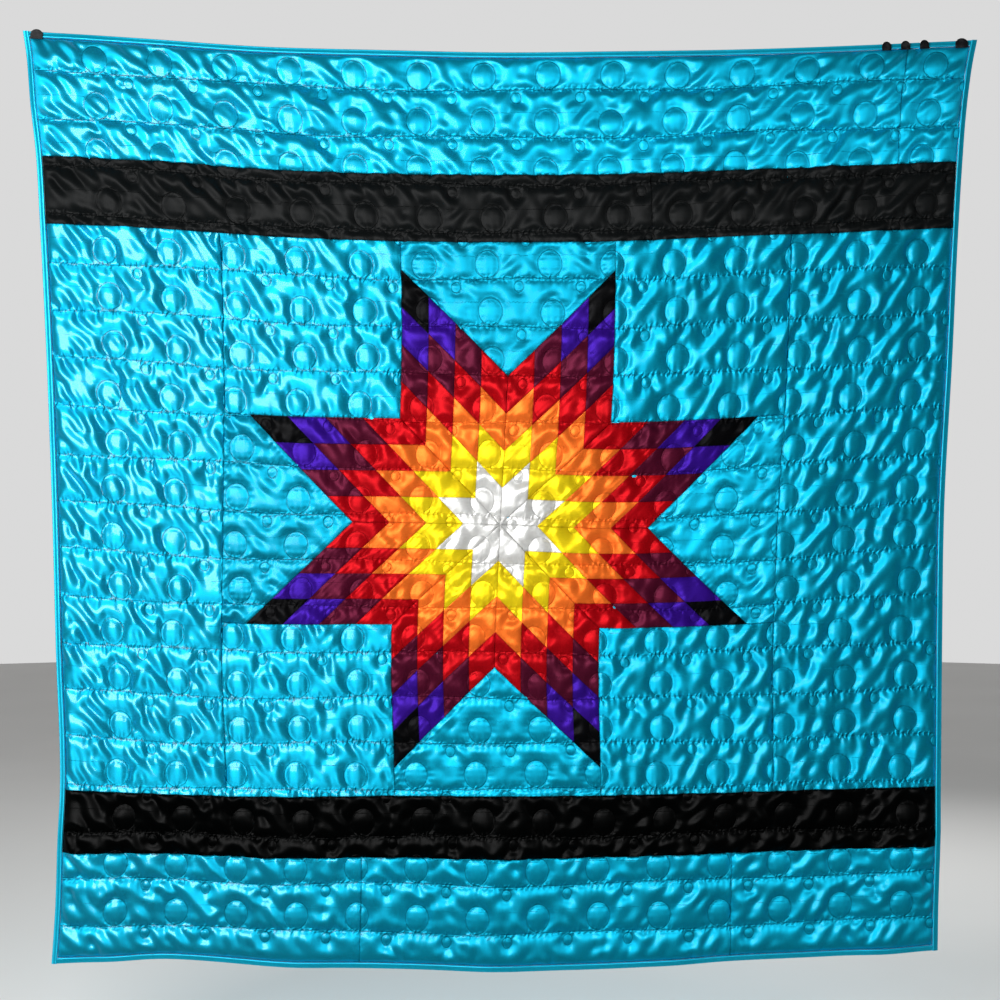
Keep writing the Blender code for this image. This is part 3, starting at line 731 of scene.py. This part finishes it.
def dress_panel(name, rails, fabric, materials, area, size, threads, diamonds=0):
    """Replace one panel of the frame by its fine quilted sheet.

    threads is the angle, in degrees from the across direction, of the satin's long threads.
    """
    first_rail, second_rail = rails
    corners = list(first_rail) + list(reversed(second_rail))
    multiple = 2 * max(1, diamonds)
    along = max(needed_steps(p, q, multiple) for rail in rails for p, q in zip(rail, rail[1:]))
    between = max(needed_steps(p, q, multiple) for p, q in zip(first_rail, second_rail))
    grids = []
    for scale in (1, 2):
        across, down = rail_grid(first_rail, second_rail, along // scale, between // scale)
        grids.append((across.ravel(), down.ravel(), across.shape))
    places = []
    numbers = []
    for side, (across, down, shape) in enumerate(grids):
        _, _, _, to_line, to_ring, row, _ = nearest_stitch(across, down)
        edge = outline_distance(across, down, corners)
        seam = edge
        if diamonds:
            t, s = np.divmod(np.arange(len(across)), shape[1])
            for step, count in ((s, shape[1] - 1), (t, shape[0] - 1)):
                part = step / count * diamonds
                seam = np.minimum(seam, np.abs(part - np.round(part)) * STRIP_WIDTH)
        relief = fabric.relief(across, down)
        dip = SEAM_DIP * np.exp(-(edge / SEAM_HALF_WIDTH) ** 2)
        dip = np.maximum(dip, PATCH_DIP * np.exp(-(seam / SEAM_HALF_WIDTH) ** 2))
        if side == 0:
            gather = GATHER_HEIGHT * gathers(across, to_line, row)
            gather = gather + SEAM_GATHER * gathers(across + down, seam, 0.0)
            for place in (across, down):
                gather = gather + RING_GATHER * gathers(place, to_ring, row)
            rise = HALF_AT_STITCH + relief - dip + gather * fabric.loose(across, down)
        else:
            rise = -(HALF_AT_STITCH + BACK_SHARE * relief)
        places.append(hang(across, down) + rise[:, None] * outward(across, down))
        numbers.append((to_line, to_ring, seam, across, down))
    a, b, d = corners[0], corners[1], corners[-1]
    turn = (b[0] - a[0]) * (d[1] - a[1]) - (b[1] - a[1]) * (d[0] - a[0])
    mesh, counts = closed_sheet(name, places[0], places[1], grids[0][2], grids[1][2], turn < 0.0)
    for index, label in enumerate(("line_distance", "ring_distance", "seam_distance")):
        store(mesh, label, np.concatenate((numbers[0][index], numbers[1][index])))
    flat = np.concatenate([np.stack(n[3:5], -1) for n in numbers])
    set_grain(mesh, flat, threads)
    for material in materials:
        mesh.materials.append(material)
    slots = np.zeros(sum(counts), np.int32)
    slots[counts[0]:] = len(materials) - 1
    if diamonds:
        t, s = np.divmod(np.arange(counts[0]), grids[0][2][1] - 1)
        ring = (s * diamonds // (grids[0][2][1] - 1)) + (t * diamonds // (grids[0][2][0] - 1))
        slots[:counts[0]] = ring
    mesh.polygons.foreach_set("material_index", slots)
    return add_piece(name, mesh), size, area


def set_grain(mesh, flat, threads):
    """UV maps in metres: grain has its U across the long threads, flat is the cut cloth."""
    turn = math.radians(threads)
    long_way = np.array((math.cos(turn), math.sin(turn)))
    cross_way = np.array((math.sin(turn), -math.cos(turn)))
    store_uv(mesh, "grain", np.stack((flat @ cross_way, flat @ long_way), -1))
    store_uv(mesh, "flat", flat)


def rectangle_rails(left, top, right, bottom):
    """The two rails of an upright panel."""
    return ((left, top), (right, top)), ((left, bottom), (right, bottom))


def star_place(reach, turn):
    """The flat point at that distance and angle from the star's centre."""
    return (STAR_CENTRE[0] + reach * math.cos(turn), STAR_CENTRE[1] + reach * math.sin(turn))


def polygon_area(corners):
    """Area of a flat outline."""
    points = np.array(corners)
    after = np.roll(points, -1, axis=0)
    return 0.5 * abs(np.sum(points[:, 0] * after[:, 1] - after[:, 0] * points[:, 1]))


def star_rails():
    """Rails of the star's eight points, from its centre outwards."""
    rails = {}
    half = math.pi / STAR_POINTS
    for index in range(STAR_POINTS):
        turn = half * (2 * index + 1)
        rails[f"star_point_{index + 1}"] = (
            (STAR_CENTRE, star_place(POINT_SIDE, turn - half)),
            (star_place(POINT_SIDE, turn + half), star_place(POINT_REACH, turn)),
        )
    return rails


def background_rails():
    """Rails of the squares and triangles between the star's points."""
    centre_across, centre_down = STAR_CENTRE
    left, right = SIDE_SEAMS
    top, bottom = UPPER_BAND[1], LOWER_BAND[0]
    inner_left, inner_right = centre_across - SQUARE_CORNER, centre_across + SQUARE_CORNER
    inner_top, inner_bottom = centre_down - SQUARE_CORNER, centre_down + SQUARE_CORNER
    tip = POINT_REACH * math.cos(math.pi / STAR_POINTS)

    def level(ends, middle):
        return (inner_left, ends), (centre_across, middle), (inner_right, ends)

    def upright(ends, middle):
        return (ends, inner_top), (middle, centre_down), (ends, inner_bottom)

    return {
        "square_top_left": rectangle_rails(left, top, inner_left, inner_top),
        "square_top_right": rectangle_rails(inner_right, top, right, inner_top),
        "square_bottom_left": rectangle_rails(left, inner_bottom, inner_left, bottom),
        "square_bottom_right": rectangle_rails(inner_right, inner_bottom, right, bottom),
        "triangle_top": (level(top, top),
                         level(centre_down - tip, centre_down - POINT_SIDE)),
        "triangle_bottom": (level(centre_down + tip, centre_down + POINT_SIDE),
                            level(bottom, bottom)),
        "triangle_left": (upright(left, left),
                          upright(centre_across - tip, centre_across - POINT_SIDE)),
        "triangle_right": (upright(centre_across + tip, centre_across + POINT_SIDE),
                           upright(right, right)),
    }


def strip_rails():
    """Rails of the turquoise side strips and borders."""
    left, right = BINDING_WIDTH, QUILT_WIDTH - BINDING_WIDTH
    top, bottom = BINDING_WIDTH, QUILT_LENGTH - BINDING_WIDTH
    first_join, second_join = BOTTOM_BORDER_JOINS
    return {
        "side_strip_left": rectangle_rails(left, UPPER_BAND[1], SIDE_SEAMS[0], LOWER_BAND[0]),
        "side_strip_right": rectangle_rails(SIDE_SEAMS[1], UPPER_BAND[1], right, LOWER_BAND[0]),
        "top_border_long": rectangle_rails(left, top, TOP_BORDER_JOIN, UPPER_BAND[0]),
        "top_border_short": rectangle_rails(TOP_BORDER_JOIN, top, right, UPPER_BAND[0]),
        "bottom_border_left": rectangle_rails(left, LOWER_BAND[1], first_join, bottom),
        "bottom_border_middle": rectangle_rails(first_join, LOWER_BAND[1], second_join, bottom),
        "bottom_border_right": rectangle_rails(second_join, LOWER_BAND[1], right, bottom),
    }


def band_rails():
    """Rails of the black bands."""
    left, right = BINDING_WIDTH, QUILT_WIDTH - BINDING_WIDTH
    return {
        "upper_band_long": rectangle_rails(left, UPPER_BAND[0], UPPER_BAND_JOIN, UPPER_BAND[1]),
        "upper_band_short": rectangle_rails(UPPER_BAND_JOIN, UPPER_BAND[0], right, UPPER_BAND[1]),
        "lower_band": rectangle_rails(left, LOWER_BAND[0], right, LOWER_BAND[1]),
    }


class Nodes:
    """Short calls for building the node tree of a material or of the world."""

    def __init__(self, owner, shader="Principled BSDF"):
        owner.use_nodes = True
        self.tree = owner.node_tree
        self.shader = self.tree.nodes[shader]

    def add(self, kind, inputs=None, **settings):
        node = self.tree.nodes.new(kind)
        for name, value in settings.items():
            setattr(node, name, value)
        for key, value in (inputs or {}).items():
            if isinstance(value, bpy.types.NodeSocket):
                self.tree.links.new(value, node.inputs[key])
            else:
                node.inputs[key].default_value = value
        return node

    def math(self, operation, *values):
        node = self.add("ShaderNodeMath", dict(enumerate(values)), operation=operation)
        return node.outputs[0]

    def attribute(self, name):
        return self.add("ShaderNodeAttribute", attribute_name=name).outputs["Fac"]

    def noise(self, place, scale, detail, roughness=0.5):
        inputs = {"Vector": place, "Scale": scale, "Detail": detail, "Roughness": roughness}
        return self.add("ShaderNodeTexNoise", inputs).outputs["Fac"]

    def ramp(self, value, low, high, to_low, to_high):
        inputs = {"Value": value, "From Min": low, "From Max": high, "To Min": to_low,
                  "To Max": to_high}
        node = self.add("ShaderNodeMapRange", inputs, interpolation_type="SMOOTHSTEP")
        return node.outputs["Result"]

    def set(self, name, value):
        if isinstance(value, bpy.types.NodeSocket):
            self.tree.links.new(value, self.shader.inputs[name])
        else:
            self.shader.inputs[name].default_value = value


def stitch_lines(nodes, flat, pucker_strength, painted_crease_shade_strength, pieced):
    """The dents and puckers of the stitched lines, and the painted shade in their creases."""
    ticks = nodes.add("ShaderNodeMapping", {"Vector": flat, "Scale": (55.0, 40.0, 1.0)})
    waver = nodes.noise(ticks.outputs["Vector"], 1.0, 1.0)
    place = nodes.add("ShaderNodeSeparateXYZ", {"Vector": flat})
    run = nodes.math("ADD", place.outputs["X"], nodes.math("MULTIPLY", place.outputs["Y"], 0.31))
    jitter = nodes.math("MULTIPLY", waver, TICK_JITTER)
    phase = nodes.math("MULTIPLY_ADD", run, 2.0 * math.pi / TICK_PITCH, jitter)
    wave = nodes.math("MULTIPLY_ADD", nodes.math("SINE", phase), 0.5, 0.5)
    tick = nodes.math("MULTIPLY", wave, waver)
    spread = nodes.ramp(waver, 0.35, 0.65, 0.6, 1.5)
    height = 0.0
    shade = 1.0
    rows = [
        # distance, width and depth of the dent, reach and height of the puckers, depth of the
        # painted shade
        ("line_distance", 0.0024, 0.0008, 0.0090, 0.0032, 0.30),
        ("ring_distance", 0.0020, 0.0007, 0.0060, 0.0006, 0.34),
    ]
    if pieced:
        rows.append(("seam_distance", 0.0013, 0.0006, 0.0060, 0.0012, 0.40))
    for label, width, depth, pucker_width, pucker, painted_crease_shade in rows:
        away = nodes.math("DIVIDE", nodes.math("ABSOLUTE", nodes.attribute(label)), spread)
        dent = nodes.ramp(away, 0.0, width, -depth, 0.0)
        beside = nodes.ramp(away, 0.0, pucker_width, pucker * pucker_strength, 0.0)
        lift = nodes.math("MULTIPLY", tick, beside)
        height = nodes.math("ADD", height, nodes.math("ADD", dent, lift))
        # Painted shade: the colour darkens towards each stitched line and seam, where the creases
        # lie in shade.
        darkest = 1.0 - painted_crease_shade * painted_crease_shade_strength
        shade = nodes.math("MULTIPLY", shade, nodes.ramp(away, 0.0, PAINTED_CREASE_SHADE_WIDTH, darkest, 1.0))
    return height, shade


def satin(name, colour, kind):
    """Satin cloth: tinted gloss along its threads, fine weave, the dent of each stitch and painted
    shade along the stitching.
    """
    metallic, roughness, specular, coat, pucker, painted_crease_shade_strength = SATINS[kind]
    material = bpy.data.materials.new(name)
    nodes = Nodes(material)
    grain = nodes.add("ShaderNodeUVMap", uv_map="grain").outputs["UV"]
    threads = nodes.add("ShaderNodeMapping", {"Vector": grain, "Scale": (900.0, 60.0, 1.0)})
    weave = nodes.noise(threads.outputs["Vector"], 1.0, 3.0, 0.6)
    cloud = nodes.noise(grain, 7.0, 4.0)
    weave_shade = nodes.ramp(weave, 0.3, 0.7, -0.05, 0.05)
    shade = nodes.math("ADD", nodes.ramp(cloud, 0.3, 0.7, 0.92, 1.05), weave_shade)
    height = nodes.math("MULTIPLY", weave, WEAVE_HEIGHT)
    coat_weight = coat
    if pucker > 0.0:
        flat = nodes.add("ShaderNodeUVMap", uv_map="flat").outputs["UV"]
        stitched, painted_crease_shade = stitch_lines(nodes, flat, pucker, painted_crease_shade_strength, kind != "backing")
        height = nodes.math("ADD", height, stitched)
        # The colour takes the painted shade along the stitching, and the coat fades with it.
        shade = nodes.math("MULTIPLY", shade, painted_crease_shade)
        place = nodes.add("ShaderNodeSeparateXYZ", {"Vector": flat}).outputs["X"]
        finish = nodes.ramp(place, *GLOSS_FADE, coat, coat * GLOSS_LEFT)
        coat_weight = nodes.math("MULTIPLY", finish, nodes.math("POWER", painted_crease_shade, 3.0))
    tint = nodes.add("ShaderNodeMix", {"Factor": 1.0, "A": (*colour, 1.0)}, data_type="RGBA",
                     blend_type="MULTIPLY")
    grey = nodes.add("ShaderNodeCombineColor", {"Red": shade, "Green": shade, "Blue": shade})
    nodes.tree.links.new(grey.outputs["Color"], tint.inputs["B"])
    nodes.set("Base Color", tint.outputs["Result"])
    nodes.set("Roughness", nodes.ramp(weave, 0.25, 0.75, roughness - 0.03, roughness + 0.04))
    nodes.set("Metallic", metallic)
    nodes.set("Specular IOR Level", specular)
    nodes.set("Anisotropic", ANISOTROPY)
    nodes.set("Coat Weight", coat_weight)
    nodes.set("Coat Roughness", COAT_ROUGHNESS)
    tangent = nodes.add("ShaderNodeTangent", direction_type="UV_MAP", uv_map="grain")
    nodes.set("Tangent", tangent.outputs["Tangent"])
    bump = nodes.add("ShaderNodeBump", {"Height": height, "Distance": 1.0, "Strength": 1.0})
    nodes.set("Normal", bump.outputs["Normal"])
    return material


def enamel(name):
    """Black enamel on the clips, with a faint orange-peel surface."""
    material = bpy.data.materials.new(name)
    nodes = Nodes(material)
    where = nodes.add("ShaderNodeTexCoord").outputs["Object"]
    peel = nodes.noise(where, 700.0, 2.0)
    wear = nodes.noise(where, 90.0, 3.0)
    worn = nodes.ramp(wear, 0.45, 0.75, 0.0, 1.0)
    shades = {"Factor": worn, "A": (0.008, 0.008, 0.009, 1.0), "B": (0.03, 0.03, 0.032, 1.0)}
    tone = nodes.add("ShaderNodeMix", shades, data_type="RGBA")
    nodes.set("Base Color", tone.outputs["Result"])
    nodes.set("Roughness", nodes.ramp(wear, 0.3, 0.8, 0.28, 0.5))
    nodes.set("Metallic", 0.1)
    nodes.set("Specular IOR Level", 0.12)
    bump = nodes.add("ShaderNodeBump", {"Height": peel, "Distance": 0.00015, "Strength": 0.6})
    nodes.set("Normal", bump.outputs["Normal"])
    return material


def dress_binding(name, start, end, inward, material):
    """Replace a binding strip by a rolled strip of satin, puckered along its stitching."""
    start = np.array(start)
    run = np.array(end) - start
    length = np.hypot(*run)
    inward = np.array(inward)
    steps = even_steps(length, BINDING_STEP, 2)
    random = np.random.default_rng(len(name))
    along = np.linspace(0.0, 1.0, steps + 1)
    amount = np.interp(along, np.linspace(0.0, 1.0, 60), random.uniform(0.1, 1.0, 60))
    lean = np.cumsum(random.normal(0.0, 0.35, steps + 1))
    places = []
    uvs = []
    back = [(share, -BINDING_BACK_SHARE * height) for share, height in BINDING_FRONT[-2:0:-1]]
    section = list(BINDING_FRONT) + back
    for share, height in section:
        flat = start + along[:, None] * run + BINDING_WIDTH * share * inward
        phase = 2.0 * math.pi * along * length / BINDING_PUCKER_WAVE + lean + 2.6 * share
        ripple = BINDING_PUCKER * amount * np.sin(phase)
        rise = 0.001 * height + ripple * math.sin(math.pi * share) * math.copysign(1.0, height)
        pressed = 1.0 - 0.12 * held_by(CORNER_CLIPS + SMALL_CLIPS, flat[:, 0], flat[:, 1], 0.02)
        places.append(hang(*flat.T) + (rise * pressed)[:, None] * outward(*flat.T))
        uvs.append(np.stack((along * length, np.full(steps + 1, BINDING_WIDTH * share)), -1))
    places = np.stack(places, 1)
    index = np.arange(places.shape[0] * len(section)).reshape(-1, len(section))
    after = np.roll(index, -1, axis=1)
    faces = np.stack((index[:-1], index[1:], after[1:], after[:-1]), -1).reshape(-1, 4).tolist()
    faces.append(index[0].tolist())
    faces.append(index[-1, ::-1].tolist())
    turn = run[0] * inward[1] - run[1] * inward[0]
    if turn > 0.0:
        faces = [face[::-1] for face in faces]
    mesh = bpy.data.meshes.new(name)
    mesh.from_pydata(places.reshape(-1, 3).tolist(), [], faces)
    store_uv(mesh, "grain", np.stack(uvs, 1).reshape(-1, 2))
    mesh.materials.append(material)
    return add_piece(name, mesh)


def dress_quilt():
    """All the cloth of the blanket: quilted panels and rolled bindings."""
    fabric = TopFabric()
    turquoise = satin("cloth_turquoise", TURQUOISE, "turquoise")
    # A darker copy of the turquoise, painted shade, for two background triangles.
    calm = satin("cloth_turquoise_painted_shade", PAINTED_SHADE_TURQUOISE, "calm")
    black = satin("cloth_black", BLACK, "black")
    # The lower band's black is a darker copy, painted shade.
    painted_shade_black = satin("cloth_black_painted_shade", PAINTED_SHADE_BLACK, "painted_shade_black")
    star = [satin(f"cloth_{name}", colour, "star") for name, colour in STAR_COLOURS]
    backing = satin("cloth_backing", TURQUOISE, "backing")
    trim = satin("cloth_binding", TURQUOISE, "binding")
    for index, (name, rails) in enumerate(star_rails().items()):
        side = STRIP_WIDTH * DIAMONDS_PER_SIDE
        threads = 360.0 / STAR_POINTS * (index + (index % 2))
        dress_panel(name, rails, fabric, star + [backing],
                                   side * POINT_SIDE, (side, POINT_SIDE), threads,
                                   diamonds=DIAMONDS_PER_SIDE)
    groups = (
        (background_rails(), turquoise, "turquoise_satin", 0.0),
        (strip_rails(), turquoise, "turquoise_satin", 90.0),
        (band_rails(), black, "black_satin", 90.0),
    )
    # The lower band and two triangles take the darker copies, which are painted shade.
    special = {"lower_band": painted_shade_black, "triangle_top": calm, "triangle_left": calm}
    for rails_by_name, material, slot, usual_threads in groups:
        for name, rails in rails_by_name.items():
            corners = list(rails[0]) + list(reversed(rails[1]))
            spread = np.ptp(np.array(corners), axis=0)
            cloth = special.get(name, material)
            dress_panel(
                name, rails, fabric, [cloth, backing], polygon_area(corners),
                (float(spread[0]), float(spread[1])), THREADS.get(name, usual_threads),
            )
    left, right = 0.0, QUILT_WIDTH
    top, bottom = 0.0, QUILT_LENGTH
    inner_left, inner_right = BINDING_WIDTH, QUILT_WIDTH - BINDING_WIDTH
    for panel, name, start, end, inward in (
        ("side_strip_left", "binding_left", (left, top), (left, bottom), (1, 0)),
        ("side_strip_right", "binding_right", (right, top), (right, bottom), (-1, 0)),
        ("top_border_long", "binding_top", (inner_left, top), (inner_right, top), (0, 1)),
        ("bottom_border_middle", "binding_bottom", (inner_left, bottom), (inner_right, bottom),
         (0, -1)),
    ):
        dress_binding(name, start, end, inward, trim)


def dress_clips(nodes):
    """The clips keep their frame solids and get their finish."""
    black_enamel = enamel("clip_enamel")
    for name, _ in CORNER_CLIPS + SMALL_CLIPS:
        mesh = nodes[name].data
        mesh.materials.clear()
        mesh.materials.append(black_enamel)


# Camera, floor and light. The camera faces the middle of the picture of the hanging quilt.
VIEW_WIDTH = 2.39
VIEW_HEIGHT_CENTRE = -1.070
CAMERA_DISTANCE = 4.6
SENSOR = 36.0
FLOOR_HEIGHT = -2.42
FLOOR_RADIUS = 12.0
FLOOR_COLOUR = (0.80, 0.79, 0.77, 1.0)

# The soft lights.
LIGHTS = (
    # name, place, aim, width and height, power in watts
    ("key", (-1.5, -3.2, -0.35), (0.0, 0.0, -1.0), (2.4, 2.0), 160.0),
    ("back_fill", (1.5, 3.2, 0.6), (0.0, 0.0, -1.1), (2.0, 2.0), 70.0),
)

# How bright the studio is in front of the quilt and behind it.
STUDIO_FRONT = 0.06
STUDIO_BEHIND = 0.70


def add_camera():
    """A straight-on camera that frames the quilt as a square picture."""
    data = bpy.data.cameras.new("camera")
    data.sensor_width = SENSOR
    data.lens = SENSOR * CAMERA_DISTANCE / VIEW_WIDTH
    camera = bpy.data.objects.new("camera", data)
    camera.location = (0.0, -CAMERA_DISTANCE, VIEW_HEIGHT_CENTRE)
    camera.rotation_euler = (math.radians(90.0), 0.0, 0.0)
    bpy.context.scene.collection.objects.link(camera)
    bpy.context.scene.camera = camera


def add_area_light(name, location, target, size, energy):
    """A rectangular soft light aimed at a point."""
    data = bpy.data.lights.new(name, "AREA")
    data.shape = "RECTANGLE"
    data.size, data.size_y = size
    data.energy = energy
    light = bpy.data.objects.new(name, data)
    light.location = location
    aim = Vector(target) - Vector(location)
    light.rotation_euler = aim.to_track_quat("-Z", "Y").to_euler()
    bpy.context.scene.collection.objects.link(light)


def add_studio():
    """A pale floor under the quilt, an even pale surrounding and soft lights."""
    bpy.ops.mesh.primitive_circle_add(vertices=64, radius=FLOOR_RADIUS, fill_type="NGON",
                                      location=(0.0, 0.0, FLOOR_HEIGHT))
    floor = bpy.context.object
    floor.name = "studio_floor"
    material = bpy.data.materials.new("studio_floor")
    nodes = Nodes(material)
    where = nodes.add("ShaderNodeTexCoord").outputs["Object"]
    mottle = nodes.noise(where, 1.5, 3.0)
    nodes.set("Base Color", FLOOR_COLOUR)
    nodes.set("Roughness", nodes.ramp(mottle, 0.3, 0.7, 0.7, 0.85))
    floor.data.materials.append(material)
    floor.visible_glossy = False
    add_world()
    for light in LIGHTS:
        add_area_light(*light)
    bpy.context.scene.view_settings.view_transform = "Standard"


def add_world():
    """A plain studio round the quilt, pale behind it and dimmer in front."""
    world = bpy.data.worlds.new("studio")
    bpy.context.scene.world = world
    nodes = Nodes(world, "Background")
    where = nodes.add("ShaderNodeTexCoord").outputs["Generated"]
    behind = nodes.add("ShaderNodeSeparateXYZ", {"Vector": where}).outputs["Y"]
    nodes.set("Strength", nodes.ramp(behind, -0.2, 0.5, STUDIO_FRONT, STUDIO_BEHIND))
    nodes.set("Color", (1.0, 1.0, 1.0, 1.0))


def main():
    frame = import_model()
    add_camera()
    dress_quilt()
    dress_clips(frame["nodes"])
    add_studio()


main()
